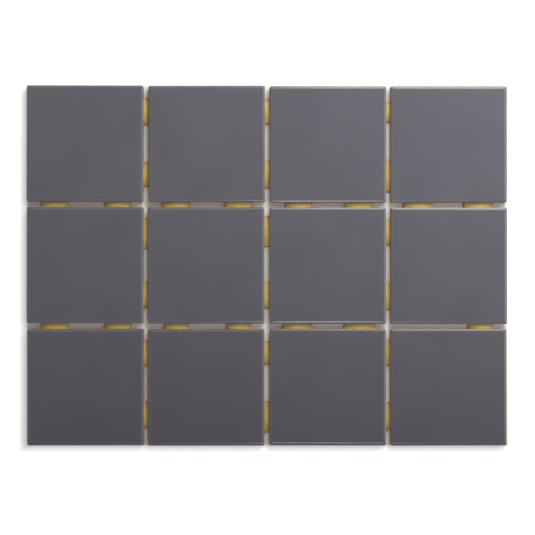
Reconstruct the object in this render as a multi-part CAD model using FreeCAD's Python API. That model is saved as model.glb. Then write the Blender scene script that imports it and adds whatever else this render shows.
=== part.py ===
# A sheet of square ceramic tiles laid in rows and columns and held together by
# drops of adhesive that have set in the joints between their edges.
# The sheet lies face up: X runs along a row, Y up the columns, Z out of the face.
# The origin is the middle of the sheet's outline, on the plane of the tiles' backs.

import FreeCAD, Part
import math
import os

# Sheet, in millimetres
COLUMNS = 4
ROWS = 3
TILE_SIDE = 97.0
TILE_THICKNESS = 6.5
JOINT_WIDTH = 4.0

# Tile edges: the face falls along a shallow arc, then an arris turns down the side
CORNER_RADIUS = 1.5
CUSHION_WIDTH = 2.6
CUSHION_END_SLOPE = 25.0
ARRIS_RADIUS = 0.6
BACK_CHAMFER = 0.4

# Shallow channels pressed into the back, with flat lands between them
CHANNEL_WIDTH = 5.0
CHANNEL_DEPTH = 0.5
CHANNEL_LAND = 4.5
CHANNEL_MARGIN = 7.0

# Adhesive drops: bars with domed tops. The inset is from the end of a tile's side
# to the drop's middle, and the bite is how far the raw bar reaches into each tile
# before the tiles' sides trim it.
DROP_LENGTH = 22.0
DROP_INSET = 22.5
DROP_ABOVE_BACK = 0.5
DROP_BELOW_FACE = 2.4
DROP_END_WALL = 0.2
DROP_SHOULDER = 1.1
DROP_BITE = 1.0

# How each tile has settled off its grid place: along X, along Y, and its turn in
# degrees. Keys are row from the top and column from the left.
SETTLE = {
    (1, 1): (-0.2, 0.7, -0.15),
    (1, 2): (0.3, 0.4, 0.1),
    (1, 3): (0.4, 0.0, 0.0),
    (1, 4): (-0.1, 0.0, 0.0),
    (2, 1): (-0.2, 0.5, -0.15),
    (2, 2): (-0.2, 0.2, 0.0),
    (2, 3): (0.2, -0.1, 0.0),
    (2, 4): (0.0, -0.2, 0.0),
    (3, 1): (0.2, -0.3, 0.1),
    (3, 2): (-0.2, -0.5, 0.0),
    (3, 3): (0.1, -0.3, -0.1),
    (3, 4): (-0.3, -0.4, 0.15),
}
SETTLED_TRUE = (0.0, 0.0, 0.0)

# Drops in the upright joints, by row and joint: the upper drop, then the lower one.
# Each gives what it adds to the nominal inset and length.
UPRIGHT_DROPS = {
    (1, 1): ((-1.75, 0.75), (1.25, -0.75)),
    (1, 2): ((-1.75, -0.5), (1.5, 1.75)),
    (1, 3): ((-1.25, -4.5), (0.0, 5.5)),
    (2, 1): ((-1.0, 3.75), (1.5, 0.5)),
    (2, 2): ((-2.5, 4.0), (1.25, 0.75)),
    (2, 3): ((-1.75, -0.5), (0.5, 1.75)),
    (3, 1): ((-1.25, -0.5), (2.25, 0.75)),
    (3, 2): ((-2.0, -2.0), (0.5, 4.0)),
    (3, 3): ((-2.25, 0.5), (1.0, 1.5)),
}
# Drops in the level joints, by joint and column: the left drop, then the right one.
# None is a drop that was never placed.
LEVEL_DROPS = {
    (1, 1): ((0.25, 1.5), (-0.75, -0.75)),
    (1, 2): ((0.25, 1.25), (-0.75, 1.5)),
    (1, 3): ((2.0, 1.25), (-0.25, 2.75)),
    (1, 4): ((0.75, 2.75), (0.75, 3.25)),
    (2, 1): ((-0.25, 1.25), (-0.75, 0.75)),
    (2, 2): ((0.75, -1.0), (-0.75, -1.25)),
    (2, 3): ((0.75, 2.5), (-0.75, 4.5)),
    (2, 4): (None, (-1.0, -0.75)),
}
NOMINAL_PAIR = ((0.0, 0.0), (0.0, 0.0))

PITCH = TILE_SIDE + JOINT_WIDTH
HALF_SIDE = TILE_SIDE / 2
MIDDLE = FreeCAD.Vector(0, 0, 0)
ALONG_X = FreeCAD.Vector(1, 0, 0)
UP = FreeCAD.Vector(0, 0, 1)
QUARTER_TURN = 90


def section_point(x, z):
    """Point in the XZ plane."""
    return FreeCAD.Vector(x, 0, z)


def arc_point(centre, radius, angle):
    """Point of an arc, at an angle from straight up towards +X."""
    return centre + section_point(radius * math.sin(angle), radius * math.cos(angle))


def arc(centre, radius, start, end):
    """Arc about a centre in the XZ plane, between two angles from straight up."""
    angles = (start, (start + end) / 2, end)
    return Part.Arc(*[arc_point(centre, radius, angle) for angle in angles]).toShape()


def tile_section():
    """Face in the XZ plane: the tile's section, the same along both of its sides."""
    slope = math.radians(CUSHION_END_SLOPE)
    level = math.pi / 2
    cushion_radius = CUSHION_WIDTH / math.sin(slope)
    arris_start_x = HALF_SIDE - ARRIS_RADIUS * (1 - math.sin(slope))
    face_end = section_point(arris_start_x - CUSHION_WIDTH, TILE_THICKNESS)
    cushion_centre = face_end - section_point(0, cushion_radius)
    cushion_end = arc_point(cushion_centre, cushion_radius, slope)
    arris_centre = arc_point(cushion_end, -ARRIS_RADIUS, slope)
    side_foot = section_point(HALF_SIDE, BACK_CHAMFER)
    back_end = section_point(HALF_SIDE - BACK_CHAMFER, 0)
    half = [
        Part.makeLine(section_point(0, TILE_THICKNESS), face_end),
        arc(cushion_centre, cushion_radius, 0, slope),
        arc(arris_centre, ARRIS_RADIUS, slope, level),
        Part.makeLine(arc_point(arris_centre, ARRIS_RADIUS, level), side_foot),
        Part.makeLine(side_foot, back_end),
        Part.makeLine(back_end, MIDDLE),
    ]
    other_half = [edge.mirror(MIDDLE, ALONG_X) for edge in half]
    return Part.Face(Part.Wire(Part.sortEdges(half + other_half)[0]))


def tile_block():
    """Square block with rounded upright corners, as large as the tile."""
    block = Part.makeBox(TILE_SIDE, TILE_SIDE, TILE_THICKNESS)
    block.translate(FreeCAD.Vector(-HALF_SIDE, -HALF_SIDE, 0))
    upright = [edge for edge in block.Edges if round(abs(edge.tangentAt(0).z)) == 1]
    return block.makeFillet(CORNER_RADIUS, upright)


def back_channel(y):
    """Cutter for one pressed channel along X, with round ends."""
    radius = CHANNEL_WIDTH / 2
    reach = HALF_SIDE - CHANNEL_MARGIN - radius
    bar = Part.makeBox(2 * reach, CHANNEL_WIDTH, CHANNEL_DEPTH)
    bar.translate(FreeCAD.Vector(-reach, y - radius, 0))
    ends = [
        Part.makeCylinder(radius, CHANNEL_DEPTH, FreeCAD.Vector(x, y, 0))
        for x in (-reach, reach)
    ]
    return bar.fuse(ends).removeSplitter()


def back_channels():
    """Cutters for as many channels as the back has room for."""
    pitch = CHANNEL_WIDTH + CHANNEL_LAND
    room = TILE_SIDE - 2 * CHANNEL_MARGIN - CHANNEL_WIDTH
    steps = math.floor(room / pitch)
    return [back_channel((index - steps / 2) * pitch) for index in range(steps + 1)]


def make_tile():
    """One tile, centred on the origin with its back on the XY plane."""
    along_y = tile_section().extrude(FreeCAD.Vector(0, TILE_SIDE, 0))
    along_y.translate(FreeCAD.Vector(0, -HALF_SIDE, 0))
    along_x = along_y.copy()
    along_x.rotate(MIDDLE, UP, QUARTER_TURN)
    shaped = tile_block().common(along_y).common(along_x)
    return shaped.cut(back_channels()).removeSplitter().Solids[0]


def grid_place(row, column):
    """Centre of a tile's place in the grid, before it settles."""
    x = (column - (COLUMNS + 1) / 2) * PITCH
    y = ((ROWS + 1) / 2 - row) * PITCH
    return FreeCAD.Vector(x, y, 0)


def place_tile(tile, row, column):
    """Copy of the tile at its place, slipped and turned as it settled."""
    slip_x, slip_y, turn = SETTLE.get((row, column), SETTLED_TRUE)
    placed = tile.copy()
    placed.rotate(MIDDLE, UP, turn)
    placed.translate(grid_place(row, column) + FreeCAD.Vector(slip_x, slip_y, 0))
    return placed


def drop_bar(length):
    """Bar of adhesive along X, centred on the origin and wider than the joint."""
    end = length / 2
    level = math.pi / 2
    wall_top = DROP_ABOVE_BACK + DROP_END_WALL
    right_centre = section_point(end - DROP_SHOULDER, wall_top)
    left_centre = section_point(DROP_SHOULDER - end, wall_top)
    crown = Part.Arc(
        arc_point(left_centre, DROP_SHOULDER, 0),
        section_point(0, TILE_THICKNESS - DROP_BELOW_FACE),
        arc_point(right_centre, DROP_SHOULDER, 0),
    )
    left_foot = section_point(-end, DROP_ABOVE_BACK)
    right_foot = section_point(end, DROP_ABOVE_BACK)
    edges = [
        Part.makeLine(left_foot, section_point(-end, wall_top)),
        arc(left_centre, DROP_SHOULDER, -level, 0),
        crown.toShape(),
        arc(right_centre, DROP_SHOULDER, 0, level),
        Part.makeLine(section_point(end, wall_top), right_foot),
        Part.makeLine(right_foot, left_foot),
    ]
    width = JOINT_WIDTH + 2 * DROP_BITE
    bar = Part.Face(Part.Wire(edges)).extrude(FreeCAD.Vector(0, width, 0))
    bar.translate(FreeCAD.Vector(0, -width / 2, 0))
    return bar


def seated_drop(drop, middle, outward, neighbours):
    """One drop in the joint, on the outward side of its middle, trimmed by the tiles."""
    extra_inset, extra_length = drop
    bar = drop_bar(DROP_LENGTH + extra_length)
    if outward.y:
        bar.rotate(MIDDLE, UP, QUARTER_TURN)
    bar.translate(middle + outward * (HALF_SIDE - DROP_INSET - extra_inset))
    return bar.cut(neighbours).Solids[0]


def upright_joint_drops(tiles):
    """Drops in the joints between columns, two for each row of each joint."""
    drops = {}
    for row in range(1, ROWS + 1):
        for joint in range(1, COLUMNS):
            pair = UPRIGHT_DROPS.get((row, joint), NOMINAL_PAIR)
            middle = (grid_place(row, joint) + grid_place(row, joint + 1)) / 2
            neighbours = [tiles[row, joint], tiles[row, joint + 1]]
            for drop, side, word in zip(pair, (1, -1), ("upper", "lower")):
                if drop:
                    name = f"glue_drop_upright_r{row}_j{joint}_{word}"
                    outward = FreeCAD.Vector(0, side, 0)
                    drops[name] = seated_drop(drop, middle, outward, neighbours)
    return drops


def level_joint_drops(tiles):
    """Drops in the joints between rows, two for each column of each joint."""
    drops = {}
    for joint in range(1, ROWS):
        for column in range(1, COLUMNS + 1):
            pair = LEVEL_DROPS.get((joint, column), NOMINAL_PAIR)
            middle = (grid_place(joint, column) + grid_place(joint + 1, column)) / 2
            neighbours = [tiles[joint, column], tiles[joint + 1, column]]
            for drop, side, word in zip(pair, (-1, 1), ("left", "right")):
                if drop:
                    name = f"glue_drop_level_j{joint}_c{column}_{word}"
                    outward = FreeCAD.Vector(side, 0, 0)
                    drops[name] = seated_drop(drop, middle, outward, neighbours)
    return drops


def build_sheet():
    """All pieces by name, with the origin in the middle of the sheet's outline."""
    tile = make_tile()
    tiles = {
        (row, column): place_tile(tile, row, column)
        for row in range(1, ROWS + 1)
        for column in range(1, COLUMNS + 1)
    }
    pieces = {f"tile_r{row}_c{column}": shape for (row, column), shape in tiles.items()}
    pieces.update(upright_joint_drops(tiles))
    pieces.update(level_joint_drops(tiles))
    centre = Part.makeCompound(list(tiles.values())).BoundBox.Center
    for shape in pieces.values():
        shape.translate(FreeCAD.Vector(-centre.x, -centre.y, 0))
    return pieces


os.makedirs("parts", exist_ok=True)
for name, shape in build_sheet().items():
    shape.exportStep(f"parts/{name}.step")
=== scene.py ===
import cmath
import math

import bpy
import numpy as np
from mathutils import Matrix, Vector, noise


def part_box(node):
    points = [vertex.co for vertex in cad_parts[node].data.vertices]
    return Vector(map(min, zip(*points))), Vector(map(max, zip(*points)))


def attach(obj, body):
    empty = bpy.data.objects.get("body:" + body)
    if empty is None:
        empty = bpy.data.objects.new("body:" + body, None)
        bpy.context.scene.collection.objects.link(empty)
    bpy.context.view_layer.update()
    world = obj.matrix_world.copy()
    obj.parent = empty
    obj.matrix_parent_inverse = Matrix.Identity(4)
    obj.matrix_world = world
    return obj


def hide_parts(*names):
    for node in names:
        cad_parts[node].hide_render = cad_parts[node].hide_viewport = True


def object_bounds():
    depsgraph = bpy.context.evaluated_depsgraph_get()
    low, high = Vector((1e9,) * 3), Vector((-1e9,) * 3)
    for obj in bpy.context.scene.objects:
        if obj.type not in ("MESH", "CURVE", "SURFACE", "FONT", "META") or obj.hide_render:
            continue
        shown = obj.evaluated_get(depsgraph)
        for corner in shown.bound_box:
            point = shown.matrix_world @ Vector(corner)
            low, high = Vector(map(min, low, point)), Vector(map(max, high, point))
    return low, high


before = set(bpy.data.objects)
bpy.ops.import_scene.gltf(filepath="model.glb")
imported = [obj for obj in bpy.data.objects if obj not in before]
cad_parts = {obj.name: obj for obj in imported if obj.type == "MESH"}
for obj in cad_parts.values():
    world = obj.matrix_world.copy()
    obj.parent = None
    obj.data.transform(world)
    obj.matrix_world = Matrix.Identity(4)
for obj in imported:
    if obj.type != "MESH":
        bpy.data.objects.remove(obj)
CAD_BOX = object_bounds()

MM = 0.001

# The tile, as in the CAD model but for a hair on its sides
ROWS = 3
COLUMNS = 4
TILE_SIDE = 96.99 * MM
TILE_THICKNESS = 6.5 * MM
CORNER_RADIUS = 1.5 * MM
CUSHION_WIDTH = 2.6 * MM
CUSHION_END_SLOPE = math.radians(25.0)
ARRIS_RADIUS = 0.6 * MM
BACK_CHAMFER = 0.4 * MM
CHANNEL_WIDTH = 5.0 * MM
CHANNEL_DEPTH = 0.5 * MM
CHANNEL_LAND = 4.5 * MM
CHANNEL_REACH = 39.0 * MM
CHANNEL_COUNT = 9
HALF_SIDE = TILE_SIDE / 2
CHANNEL_PITCH = CHANNEL_WIDTH + CHANNEL_LAND

# The cushion starts with a quick turn down from the flat face
TURN_SLOPE = math.radians(6.5)
TURN_WIDTH = 0.16 * MM

# The fired glaze. Each row's glaze is scaled by a painted shade at its upper and its lower edge. This
# stands in for light that falls off down the sheet: the bottom row is the darkest and darkens most
# towards its bottom, and the painted shade scales green a little more than red and blue
ROW_PAINTED_SHADES = ((1.055, 1.076), (1.071, 0.982), (0.975, 0.736))
GLAZE_ROUGHNESS = (0.15, 0.18)
GLAZE_THINS = (5.90 * MM, 6.28 * MM)
GLAZE_LINE = 4.1 * MM
GLAZE_LINE_SPREAD = 0.8 * MM
BARE_CLAY = 1.2 * MM
GLAZE_TONES = ((0.1018, 0.0959, 0.1136, 1), (0.1077, 0.1018, 0.1201, 1))
GLAZE_SPECKS = (0.084, 0.080, 0.092, 1)
THIN_GLAZE = (0.120, 0.073, 0.053, 1)
GREEN_OF_PAINTED_SHADE = 1.15
CLAY_TONES = ((0.30, 0.15, 0.09, 1), (0.42, 0.27, 0.17, 1))
GROG_TONE = (0.50, 0.38, 0.27, 1)

# How deep the face waves, and the size of each wave
FACE_WAVES = ((0.010 * MM, 0.018), (0.002 * MM, 0.006))
WALL_SHRINK = 0.9994

# Grid lines of a tile's back, in from its sides
BACK_INSETS = [0.0, BACK_CHAMFER, 1.5 * MM, 3.0 * MM, 5.0 * MM]
WALL_RINGS = 9
SHARP_EDGE = math.radians(35.0)

# A glue drop: its mesh, the height of its ends and how its edges are squeezed
DROP_STEPS_ALONG = 40
DROP_STEPS_ACROSS = 10
DROP_SHOULDER = 1.1 * MM
DROP_END_HEIGHT = 1.3 * MM
DROP_BULGE = 0.25 * MM
DROP_MENISCUS = 0.35 * MM
DROP_SEAT = 0.05 * MM
DROP_END_GAP = 0.1 * MM
DROP_LEAST_HEIGHT = 0.12 * MM
DROP_UNDERSIDE = 0.1 * MM
# How far in from a drop's ends the painted shade reaches
DROP_PAINTED_SHADE_REACH = 2.2 * MM
AMBER_TONES = ((0.535, 0.366, 0.088, 1), (0.600, 0.428, 0.128, 1))
# Darker amber, painted at a drop's ends as shade
AMBER_PAINTED_SHADE_TONES = ((0.46, 0.308, 0.060, 1), (0.54, 0.368, 0.090, 1))

# The photo's camera: straight above, a little off the sheet's middle
CAMERA_HEIGHT = 1.1
CAMERA_OFFSET = (0.5 * MM, -1.7 * MM)
FRAME_WIDTH = 445.5 * MM
SENSOR = 36.0

# Studio lamps, all facing the origin: place, size and power
LAMPS = {
    "key": ((0.32, 0.56, 0.50), (0.60, 0.50), 6.42),
    "side": ((0.80, 0.10, 0.62), (0.8, 0.5), 2.61),
    "back": ((0.10, 0.95, 0.55), (1.0, 0.4), 1.19),
    "small": ((0.095, -0.50, 0.97), (0.19, 0.05), 1.29),
}
WHITE = (1.0, 1.0, 1.0, 1)
AMBIENT = (0.173, 0.173, 0.180, 1)
OVERHEAD = (0.38, 0.38, 0.395, 1)
OVERHEAD_REACH = (math.radians(16), math.radians(11))

FLOOR_SIZE = 8.0
FLOOR_DROP = 0.02 * MM
FLOOR_COLOUR = (0.825, 0.84, 0.785, 1)

# Painted light: a white glow that only the camera sees lifts the floor outside the sheet, beside its
# ends and beside its long sides. The lift over the origin has its fall along X and Y, and its shares
# at the outline and further out set how light the sheet's shadow looks. Past the shadow it rises
# until the ground is all white
END_LIFT = (0.207, -0.235, 0.10)
LONG_SIDE_LIFT = (0.265, -0.14, -0.10)
END_SHARES = (0.95, 1.56)
LONG_SIDE_SHARES = (0.88, 1.78)
LIFT_RUN = 4.0 * MM
ALL_WHITE = (4.5 * MM, 16.0 * MM)


def smoothstep(low, high, value):
    """Eases from 0 at low to 1 at high."""
    t = np.clip((value - low) / (high - low), 0.0, 1.0)
    return t * t * (3 - 2 * t)


def wave(x, y, z, scale, seed):
    """Smooth noise of about -1 to 1 at a point, with features of the given size."""
    return noise.noise(Vector((x / scale + seed, y / scale, z / scale)))


# Materials


class Nodes:
    """Short helpers for one material's nodes."""

    def __init__(self, name):
        self.material = bpy.data.materials.new(name)
        self.material.use_nodes = True
        self.tree = self.material.node_tree
        self.shader = self.tree.nodes["Principled BSDF"]
        self.position = self.add("ShaderNodeTexCoord").outputs["Object"]

    def add(self, kind, **inputs):
        node = self.tree.nodes.new(kind)
        for key, value in inputs.items():
            self.feed(node.inputs[key.replace("_", " ")], value)
        return node

    def feed(self, socket, value):
        if isinstance(value, bpy.types.NodeSocket):
            self.tree.links.new(value, socket)
        else:
            socket.default_value = value

    def noise(self, size, detail=2.0):
        """Noise with features of about the given size in metres."""
        node = self.add("ShaderNodeTexNoise", Scale=1.0 / size, Detail=detail, Vector=self.position)
        return node.outputs["Fac"]

    def math(self, operation, first, second=0.0, third=0.0):
        node = self.tree.nodes.new("ShaderNodeMath")
        node.operation = operation
        for socket, value in zip(node.inputs, (first, second, third)):
            self.feed(socket, value)
        return node.outputs[0]

    def between(self, value, low, high, first=0.0, last=1.0):
        """Eases value from first to last as it goes from low to high."""
        node = self.tree.nodes.new("ShaderNodeMapRange")
        node.interpolation_type = "SMOOTHSTEP"
        for key, number in zip(("Value", "From Min", "From Max", "To Min", "To Max"),
                               (value, low, high, first, last)):
            self.feed(node.inputs[key], number)
        return node.outputs[0]

    def mix(self, factor, first, second, blend="MIX"):
        node = self.tree.nodes.new("ShaderNodeMix")
        node.data_type = "RGBA"
        node.blend_type = blend
        self.feed(node.inputs[0], factor)
        self.feed(node.inputs[6], first)
        self.feed(node.inputs[7], second)
        return node.outputs[2]

    def clamp(self, value):
        return self.add("ShaderNodeClamp", Value=value).outputs[0]

    def attribute(self, name):
        node = self.tree.nodes.new("ShaderNodeAttribute")
        node.attribute_name = name
        return node.outputs["Fac"]

    def place(self):
        return self.add("ShaderNodeSeparateXYZ", Vector=self.position).outputs

    def bump(self, height, distance, strength=1.0, normal=None):
        node = self.add("ShaderNodeBump", Height=height, Distance=distance, Strength=strength)
        if normal:
            self.feed(node.inputs["Normal"], normal)
        return node.outputs["Normal"]


def glaze_colour(n):
    """Dark grey glaze, a little uneven, scaled by painted shade that darkens it down the sheet."""
    glaze = n.mix(n.between(n.noise(0.045, 3.0), 0.35, 0.65), *GLAZE_TONES)
    specks = n.between(n.noise(0.0016, 3.0), 0.58, 0.75, 0.0, 0.18)
    glaze = n.mix(specks, glaze, GLAZE_SPECKS)
    # Painted shade, read from the tile's points: darker down the sheet, standing in for the light's
    # fall-off
    painted_shade = n.attribute("painted_shade")
    green = n.math("POWER", painted_shade, GREEN_OF_PAINTED_SHADE)
    painted_shades = n.add("ShaderNodeCombineXYZ", X=painted_shade, Y=green, Z=painted_shade).outputs[0]
    return n.mix(1.0, glaze, painted_shades, "MULTIPLY")


def clay_colour(n):
    """Fired clay of the sides and the back, with pale grog."""
    clay = n.mix(n.noise(0.0022, 6.0), *CLAY_TONES)
    grog = n.between(n.noise(0.0007, 2.0), 0.62, 0.72)
    return n.mix(grog, clay, GROG_TONE)


def tile_material():
    """Satin glaze that ends in an uneven line on the fired clay of the sides."""
    n = Nodes("tile")
    line = n.math("MULTIPLY_ADD", n.noise(0.004, 4.0), 1.6 * MM, n.attribute("glaze_line"))
    height = n.place()["Z"]
    above = n.math("SUBTRACT", height, n.math("SUBTRACT", line, 0.8 * MM))
    glazed = n.between(above, -0.12 * MM, 0.12 * MM)
    uneven_height = n.math("MULTIPLY_ADD", n.noise(0.004, 2.0), 0.12 * MM, height)
    on_face = n.between(uneven_height, *GLAZE_THINS, 0.45, 1.0)
    thickness = n.math("MINIMUM", n.between(above, 0.0, 0.8 * MM), on_face)
    thin = n.mix(thickness, THIN_GLAZE, glaze_colour(n))
    n.feed(n.shader.inputs["Base Color"], n.mix(glazed, clay_colour(n), thin))
    satin = n.between(n.noise(0.003, 2.0), 0.3, 0.7, *GLAZE_ROUGHNESS)
    rough = n.math("MULTIPLY_ADD", glazed, n.math("SUBTRACT", satin, 0.85), 0.85)
    n.feed(n.shader.inputs["Roughness"], rough)
    ripple = n.bump(n.noise(0.0035, 2.0), 0.001 * MM)
    grain = n.bump(n.noise(0.0005, 3.0), 0.05 * MM, n.math("SUBTRACT", 1.0, glazed), ripple)
    n.feed(n.shader.inputs["Normal"], grain)
    return n.material


def glue_material():
    """Amber adhesive, translucent, with painted shade that darkens it towards its ends."""
    n = Nodes("glue")
    amber = n.mix(n.noise(0.004, 3.0), *AMBER_TONES)
    shaded_amber = n.mix(n.noise(0.003, 3.0), *AMBER_PAINTED_SHADE_TONES)
    # Painted shade: the amber darkens towards the drop's ends
    n.feed(n.shader.inputs["Base Color"], n.mix(n.attribute("painted_end_shade"), amber, shaded_amber))
    n.shader.inputs["Subsurface Weight"].default_value = 1.0
    n.shader.inputs["Subsurface Radius"].default_value = (1.0, 0.75, 0.25)
    n.shader.inputs["Subsurface Scale"].default_value = 3.0 * MM
    n.shader.inputs["Specular IOR Level"].default_value = 0.35
    n.feed(n.shader.inputs["Roughness"], n.between(n.noise(0.003), 0.3, 0.7, 0.42, 0.55))
    n.feed(n.shader.inputs["Normal"], n.bump(n.noise(0.0015, 3.0), 0.06 * MM))
    return n.material


# Pieces


def add_piece(name, node, material, vertices, faces, attributes):
    """Smooth mesh with its point attributes, in place of a node of the CAD model."""
    mesh = bpy.data.meshes.new(name)
    mesh.from_pydata(vertices, [], faces)
    for key, values in attributes.items():
        attribute = mesh.attributes.new(key, "FLOAT", "POINT")
        attribute.data.foreach_set("value", np.array(values, np.float32))
    mesh.materials.append(material)
    mesh.shade_smooth()
    mesh.set_sharp_from_angle(angle=SHARP_EDGE)
    mesh.update()
    piece = bpy.data.objects.new(name, mesh)
    bpy.context.scene.collection.objects.link(piece)
    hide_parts(node)
    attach(piece, "root")


def edge_profile():
    """Rings of the face's edge, from the side inwards: inset from the side, height."""
    cushion_radius = CUSHION_WIDTH / math.sin(CUSHION_END_SLOPE)
    arris_top = TILE_THICKNESS - cushion_radius * (1 - math.cos(CUSHION_END_SLOPE))
    arris_z = arris_top - ARRIS_RADIUS * math.cos(CUSHION_END_SLOPE)
    start = ARRIS_RADIUS * (1 - math.sin(CUSHION_END_SLOPE)) + CUSHION_WIDTH
    rings = []
    for slope in np.linspace(math.pi / 2, CUSHION_END_SLOPE, 7):
        rings.append((ARRIS_RADIUS * (1 - math.sin(slope)), arris_z + ARRIS_RADIUS * math.cos(slope)))
    for slope in np.linspace(CUSHION_END_SLOPE, TURN_SLOPE, 8)[1:]:
        inset = start - cushion_radius * math.sin(slope)
        rings.append((inset, TILE_THICKNESS - cushion_radius * (1 - math.cos(slope))))
    inset, height = rings[-1]
    step = TURN_WIDTH / 4
    for slope in np.linspace(TURN_SLOPE, 0, 9)[1::2]:
        inset, height = inset + step, height + step * math.tan(slope)
        rings.append((inset, height))
    raised = TILE_THICKNESS - height
    return [(inset, height + raised) for inset, height in rings]


def rounded_grid(lines_x, lines_y, corner_of_ring):
    """Plan of a square grid whose rings have rounded corners."""
    count = len(lines_x)
    middle = count // 2
    plan = np.zeros((count, count, 2))
    for i in range(count):
        for j in range(count):
            ring = middle - max(abs(i - middle), abs(j - middle))
            x, y = lines_x[i], lines_y[j]
            radius = corner_of_ring[ring]
            reach_x, reach_y = -lines_x[ring], -lines_y[ring]
            over_x, over_y = abs(x) - (reach_x - radius), abs(y) - (reach_y - radius)
            if radius > 0 and over_x > 0 and over_y > 0:
                turn = min(over_x, over_y) / max(over_x, over_y) * math.pi / 4
                small, large = radius * math.sin(turn), radius * math.cos(turn)
                along_x, along_y = (large, small) if over_x > over_y else (small, large)
                x = math.copysign(reach_x - radius + along_x, x)
                y = math.copysign(reach_y - radius + along_y, y)
            plan[i, j] = (x, y)
    return plan


def channel_lines():
    """Grid lines across the channels of the back."""
    offsets = np.array([-2.6, -2.25, -1.6, -0.8, 0.0, 0.8, 1.6, 2.25, 2.6]) * MM
    middles = (np.arange(CHANNEL_COUNT) - (CHANNEL_COUNT - 1) / 2) * CHANNEL_PITCH
    return np.concatenate([middle + offsets for middle in middles])


def ring_loop(count):
    """Grid indices of the outer ring, in order round the tile."""
    last = count - 1
    loop = [(i, 0) for i in range(last)]
    loop += [(last, j) for j in range(last)]
    loop += [(i, last) for i in range(last, 0, -1)]
    loop += [(0, j) for j in range(last, 0, -1)]
    return loop


def make_face():
    """Plan of a tile's face and the height of each of its rings, before it is placed."""
    profile = edge_profile()
    half_count = (len(channel_lines()) + 2 * len(BACK_INSETS)) // 2
    flat_start = profile[-1][0]
    insets = [inset for inset, _ in profile]
    corners = [max(CORNER_RADIUS - inset, 0.7 * MM) for inset in insets]
    flat = list(np.linspace(flat_start, HALF_SIDE, half_count - len(profile) + 2)[1:-1])
    low = [-HALF_SIDE + inset for inset in insets + flat]
    lines = np.array(low + [0.0] + [-value for value in reversed(low)])
    plan = rounded_grid(lines, lines, corners + [0.0] * (len(flat) + 1))
    heights = [height for _, height in profile] + [TILE_THICKNESS] * (len(flat) + 1)
    return plan, heights


def channel_height(x, y):
    """How far the back is pressed in at a point."""
    nearest = round(y / CHANNEL_PITCH) * CHANNEL_PITCH
    outermost = CHANNEL_PITCH * (CHANNEL_COUNT - 1) / 2
    if abs(nearest) > outermost + 0.1 * MM or abs(x) > CHANNEL_REACH + 0.01 * MM:
        return 0.0
    half = CHANNEL_WIDTH / 2
    return CHANNEL_DEPTH * (1 - smoothstep(half - 0.3 * MM, half, abs(y - nearest)))


def make_back():
    """Plan and heights of a tile's back, with its channels."""
    low = [-HALF_SIDE + inset for inset in BACK_INSETS]
    high = [-value for value in reversed(low)]
    lines_y = np.concatenate([low, channel_lines(), high])
    count = len(lines_y)
    along = np.linspace(CHANNEL_REACH, 0.0, (count - 2 * len(BACK_INSETS)) // 2)[:-1]
    along = np.concatenate([[CHANNEL_REACH + 0.3 * MM], along])
    lines_x = np.concatenate([low, -along, [0.0], along[::-1], high])
    corners = [max(CORNER_RADIUS - inset, 0.0) for inset in BACK_INSETS]
    plan = rounded_grid(lines_x, lines_y, corners + [0.0] * (count // 2 + 1 - len(corners)))
    heights = np.array([[channel_height(x, y) for x, y in line] for line in plan])
    heights[0, :] = heights[-1, :] = BACK_CHAMFER
    heights[:, 0] = heights[:, -1] = BACK_CHAMFER
    return plan, heights


def tile_place(node):
    """Centre and turn of a CAD tile, from the corners of its sides."""
    low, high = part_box(node)
    centre = (low + high) / 2
    points = [vertex.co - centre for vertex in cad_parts[node].data.vertices]
    sides = [complex(p.x, p.y) for p in points if abs(p.z + centre.z - BACK_CHAMFER) < 0.01 * MM]
    return complex(centre.x, centre.y), cmath.phase(-sum(point ** 4 for point in sides)) / 4


def bare_clay(row, column, x, y):
    """How much higher the clay is bare on the two sides where the photo shows it."""
    bare_right = (row, column) == (3, 1) and x > HALF_SIDE - 1.0 * MM
    bare_upper = (row, column) == (3, 4) and y > HALF_SIDE - 1.0 * MM
    return BARE_CLAY if bare_right or bare_upper else 0.0


def tile_faces(count, back_start, rings):
    """Quads of the face, the back and the sides between them."""
    faces = []
    for i in range(count - 1):
        for j in range(count - 1):
            a, b = i * count + j, (i + 1) * count + j
            faces.append((a, b, b + 1, a + 1))
            faces.append((back_start + a, back_start + a + 1, back_start + b + 1, back_start + b))
    for upper, lower in zip(rings, rings[1:]):
        total = len(upper)
        for k in range(total):
            after = (k + 1) % total
            faces.append((upper[k], lower[k], lower[after], upper[after]))
    return faces


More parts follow.
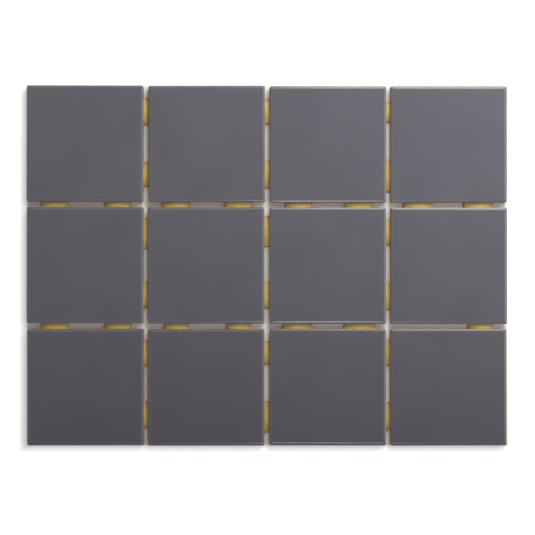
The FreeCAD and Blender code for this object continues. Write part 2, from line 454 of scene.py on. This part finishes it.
def make_tile(node, face, back, material, row, column):
    """One glazed tile: its slightly wavy face, its sides and its pressed back."""
    seed = row * 10 + column
    plan_face, ring_heights = face
    plan_back, heights_back = back
    count = len(plan_face)
    middle = count // 2
    centre, turn = tile_place(node)
    spin = cmath.rect(1.0, turn)

    def placed(x, y, z):
        point = complex(x, y) * spin + centre
        return point.real, point.imag, z

    vertices = []
    for i in range(count):
        for j in range(count):
            ring = middle - max(abs(i - middle), abs(j - middle))
            x, y = plan_face[i, j]
            dip = sum(depth * (1 + wave(x, y, 0, size, seed)) for depth, size in FACE_WAVES)
            vertices.append(placed(x, y, ring_heights[ring] - dip * min(1.0, ring / 8)))
    loop = ring_loop(count)
    rings = [[i * count + j for i, j in loop]]
    for level in np.linspace(ring_heights[0], BACK_CHAMFER, WALL_RINGS)[1:-1]:
        rings.append(list(range(len(vertices), len(vertices) + len(loop))))
        vertices += [placed(*(plan_face[i, j] * WALL_SHRINK), level) for i, j in loop]
    back_start = len(vertices)
    for i in range(count):
        vertices += [placed(*plan_back[i, j], heights_back[i, j]) for j in range(count)]
    rings.append([back_start + i * count + j for i, j in loop])

    lines, painted_shades = [], []
    # The painted shade of each point, eased from the row's upper to its lower edge
    upper_painted_shade, lower_painted_shade = ROW_PAINTED_SHADES[row - 1]
    for x, y, z in vertices:
        bare = bare_clay(row, column, x - centre.real, y - centre.imag)
        lines.append(GLAZE_LINE + GLAZE_LINE_SPREAD * wave(x, y, 0, 0.05, seed) + bare)
        up = (y - centre.imag) / TILE_SIDE + 0.5
        painted_shades.append(lower_painted_shade + (upper_painted_shade - lower_painted_shade) * up)
    faces = tile_faces(count, back_start, rings)
    attributes = {"glaze_line": lines, "painted_shade": painted_shades}
    add_piece(node + "_glazed", node, material, vertices, faces, attributes)


def drop_height(u, t, inside, rise):
    """Height of a drop's top at a point along and across it."""
    height = DROP_END_HEIGHT + (rise - DROP_END_HEIGHT) * (1 - u * u)
    if inside < DROP_SHOULDER:
        height -= DROP_SHOULDER - math.sqrt(DROP_SHOULDER ** 2 - (DROP_SHOULDER - inside) ** 2)
    meniscus = DROP_MENISCUS * (t * t - 0.6) * min(1.0, inside / (2 * MM))
    return max(height, DROP_LEAST_HEIGHT) + meniscus


def drop_faces():
    """Quads of a drop's top, its underside and its rim."""
    across = DROP_STEPS_ACROSS
    line = across + 1
    side = (DROP_STEPS_ALONG + 1) * line
    faces = []
    for a in range(DROP_STEPS_ALONG):
        for b in range(across):
            p = a * line + b
            top = (p, p + line, p + line + 1, p + 1)
            faces.append(top)
            faces.append(tuple(side + q for q in reversed(top)))
    rim = list(range(across))
    rim += [a * line + across for a in range(DROP_STEPS_ALONG)]
    rim += [DROP_STEPS_ALONG * line + b for b in range(across, 0, -1)]
    rim += [a * line for a in range(DROP_STEPS_ALONG, 0, -1)]
    for p, q in zip(rim, rim[1:] + rim[:1]):
        faces.append((p, q, side + q, side + p))
    return faces


def make_drop(node, material, seed):
    """A squeezed drop of glue between two tiles, domed along the joint."""
    low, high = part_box(node)
    middle = (low + high) / 2
    size = high - low
    upright = "_upright_" in node
    length, width = (size.y, size.x) if upright else (size.x, size.y)
    vertices, ends = [], []
    for side in (1, -1):
        for a in range(DROP_STEPS_ALONG + 1):
            u = math.sin((2 * a / DROP_STEPS_ALONG - 1) * math.pi / 2)
            inside = length / 2 * (1 - abs(u))
            for b in range(DROP_STEPS_ACROSS + 1):
                t = 2 * b / DROP_STEPS_ACROSS - 1
                bulge = DROP_BULGE * wave(t * 2, math.copysign(3.0, u), 0, 1.5, seed)
                along = u * (length / 2 - DROP_END_GAP) + abs(u) ** 6 * bulge
                across = t * (width / 2 + DROP_SEAT)
                if side > 0:
                    z = low.z + drop_height(u, t, inside, size.z)
                else:
                    z = low.z + DROP_UNDERSIDE * (1 - t * t)
                x, y = (-across, along) if upright else (along, across)
                vertices.append((middle.x + x, middle.y + y, z))
                # Painted shade at the ends: 1 at an end, easing to 0 further in
                ends.append(1 - float(smoothstep(0.0, DROP_PAINTED_SHADE_REACH, inside)))
    add_piece(node + "_squeezed", node, material, vertices, drop_faces(), {"painted_end_shade": ends})


# Floor, light and camera


def make_floor():
    """A pale floor with a painted glow that only the camera sees, lifting it beside the sheet and to
    white past its shadow.
    """
    bpy.ops.mesh.primitive_plane_add(size=FLOOR_SIZE, location=(0, 0, -FLOOR_DROP))
    floor = bpy.context.object
    floor.name = "floor"
    n = Nodes("floor")
    n.shader.inputs["Base Color"].default_value = FLOOR_COLOUR
    n.shader.inputs["Roughness"].default_value = 1.0
    n.shader.inputs["Specular IOR Level"].default_value = 0.0
    place = n.place()
    across = n.math("SUBTRACT", n.math("ABSOLUTE", place["X"]), CAD_BOX[1][0])
    along = n.math("SUBTRACT", n.math("ABSOLUTE", place["Y"]), CAD_BOX[1][1])
    distance = n.math("MAXIMUM", across, along)

    def lift_beside(outward, lift, fall_x, fall_y, shares):
        """The lift beside one pair of the sheet's sides."""
        lift = n.math("MULTIPLY_ADD", place["X"], fall_x, lift)
        lift = n.clamp(n.math("MULTIPLY_ADD", place["Y"], fall_y, lift))
        return n.math("MULTIPLY", lift, n.between(outward, 0.0, LIFT_RUN, *shares))

    beside_end = lift_beside(across, *END_LIFT, END_SHARES)
    beside_long_side = lift_beside(along, *LONG_SIDE_LIFT, LONG_SIDE_SHARES)
    nearer_end = n.math("SUBTRACT", across, along)
    lift = n.between(nearer_end, -LIFT_RUN, LIFT_RUN, beside_long_side, beside_end)
    lift = n.math("MULTIPLY", lift, n.between(distance, 0.0, 1.0 * MM))
    lift = n.math("ADD", lift, n.between(distance, *ALL_WHITE))
    # Painted light: the lift is a glow that only camera rays see
    seen = n.add("ShaderNodeLightPath").outputs["Is Camera Ray"]
    n.shader.inputs["Emission Color"].default_value = WHITE
    n.feed(n.shader.inputs["Emission Strength"], n.math("MULTIPLY", lift, seen))
    floor.data.materials.append(n.material)


def make_world():
    """Even soft light. Gloss mirrors white surroundings that are grey overhead, and the
    camera sees white past the floor."""
    world = bpy.data.worlds.new("world")
    bpy.context.scene.world = world
    world.use_nodes = True
    tree = world.node_tree
    background = tree.nodes["Background"]
    path = tree.nodes.new("ShaderNodeLightPath")

    def mix(factor, first, second):
        node = tree.nodes.new("ShaderNodeMix")
        node.data_type = "RGBA"
        tree.links.new(factor, node.inputs[0])
        for value, socket in ((first, node.inputs[6]), (second, node.inputs[7])):
            if isinstance(value, tuple):
                socket.default_value = value
            else:
                tree.links.new(value, socket)
        return node.outputs[2]

    direction = tree.nodes.new("ShaderNodeSeparateXYZ")
    tree.links.new(tree.nodes.new("ShaderNodeTexCoord").outputs["Generated"], direction.inputs[0])
    overhead = tree.nodes.new("ShaderNodeMapRange")
    overhead.interpolation_type = "SMOOTHSTEP"
    tree.links.new(direction.outputs["Z"], overhead.inputs["Value"])
    overhead.inputs["From Min"].default_value = math.cos(OVERHEAD_REACH[0])
    overhead.inputs["From Max"].default_value = math.cos(OVERHEAD_REACH[1])
    mirrored = mix(overhead.outputs[0], WHITE, OVERHEAD)
    light = mix(path.outputs["Is Glossy Ray"], AMBIENT, mirrored)
    tree.links.new(mix(path.outputs["Is Camera Ray"], light, WHITE), background.inputs["Color"])
    background.inputs["Strength"].default_value = 1.0


def make_lamp(name, place, size, power):
    """A soft rectangular lamp that faces the origin."""
    data = bpy.data.lights.new(name, "AREA")
    data.shape = "RECTANGLE"
    data.size, data.size_y = size
    data.energy = power
    lamp = bpy.data.objects.new(name, data)
    lamp.location = place
    lamp.rotation_euler = (-Vector(place)).to_track_quat("-Z", "Y").to_euler()
    bpy.context.scene.collection.objects.link(lamp)


def make_camera():
    """The photo's view, straight down."""
    data = bpy.data.cameras.new("camera")
    data.sensor_width = SENSOR
    data.lens = SENSOR * CAMERA_HEIGHT / FRAME_WIDTH
    camera = bpy.data.objects.new("camera", data)
    camera.location = (*CAMERA_OFFSET, TILE_THICKNESS + CAMERA_HEIGHT)
    bpy.context.scene.collection.objects.link(camera)
    bpy.context.scene.camera = camera


glazed = tile_material()
amber = glue_material()
tile_face, tile_back = make_face(), make_back()
for row in range(1, ROWS + 1):
    for column in range(1, COLUMNS + 1):
        make_tile(f"tile_r{row}_c{column}", tile_face, tile_back, glazed, row, column)
for number, node in enumerate(sorted(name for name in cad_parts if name.startswith("glue_drop"))):
    make_drop(node, amber, number * 7.3)
make_floor()
make_world()
for name, lamp in LAMPS.items():
    make_lamp(name, *lamp)
make_camera()
bpy.context.scene.view_settings.view_transform = "Standard"
